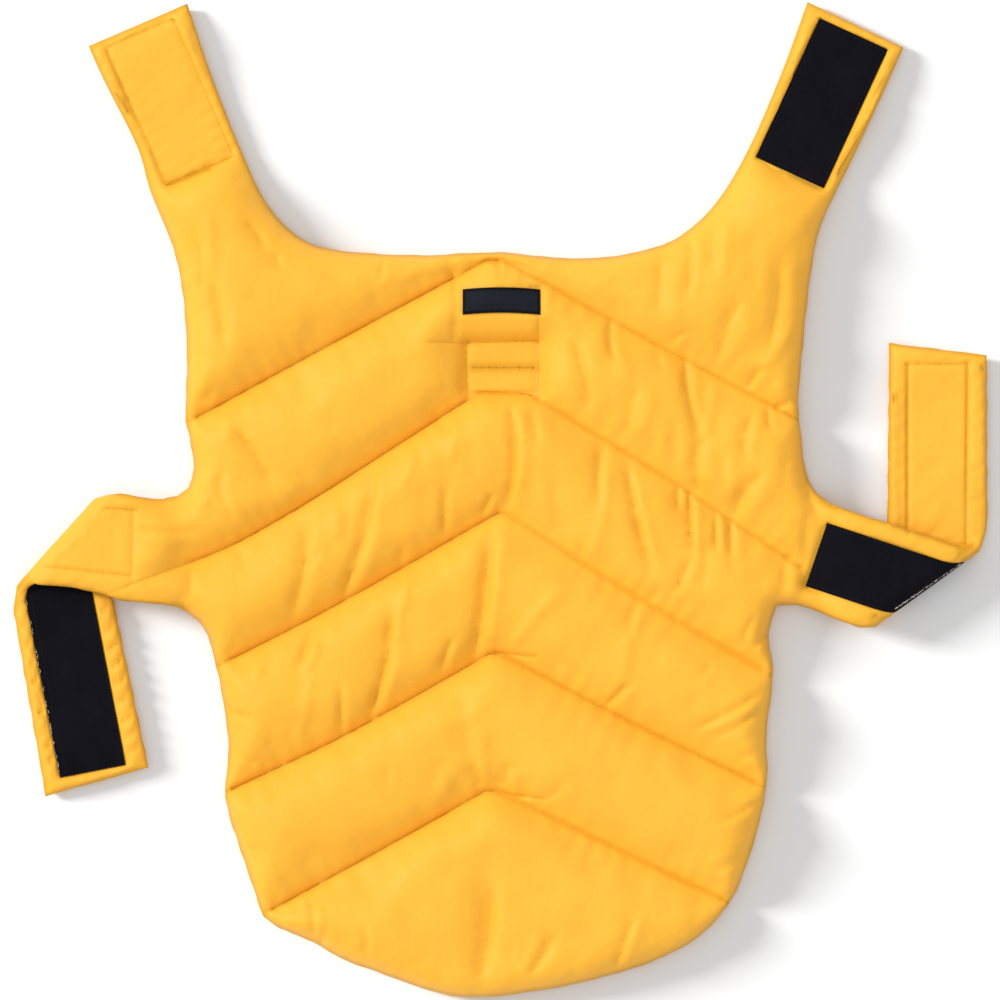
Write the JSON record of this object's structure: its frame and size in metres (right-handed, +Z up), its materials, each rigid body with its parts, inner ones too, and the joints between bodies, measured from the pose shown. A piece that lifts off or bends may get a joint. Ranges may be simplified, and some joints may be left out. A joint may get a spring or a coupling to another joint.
{
  "type": "dog puffer vest",
  "caption": "Padded dog vest laid out flat: V-quilted back panel, two neck straps, two folded belly bands, hook-and-loop tapes, leash slot and a bare tab.",
  "frame": {"origin": "On the surface the vest lies on, below the middle of its bounding box.", "axes": "+Z is up, out of the outer face of the vest; +Y runs from the tail hem to the neck; +X is to the right with the neck at the top."},
  "size_m": [0.5292, 0.5409, 0.0202],
  "materials": {
    "quilted_cloth": "matt woven shell over wadding, with a faint sheen",
    "hook_tape": "matt loop and hook pile",
    "label_cloth": "dense woven tab"
  },
  "bodies": {
    "root": {"quilted_panel": "quilted_cloth", "tape_neck_right": "hook_tape", "tape_neck_left": "hook_tape", "tape_band_left": "hook_tape", "tape_band_right": "hook_tape", "label_tab": "label_cloth"}
  },
  "joints": []
}
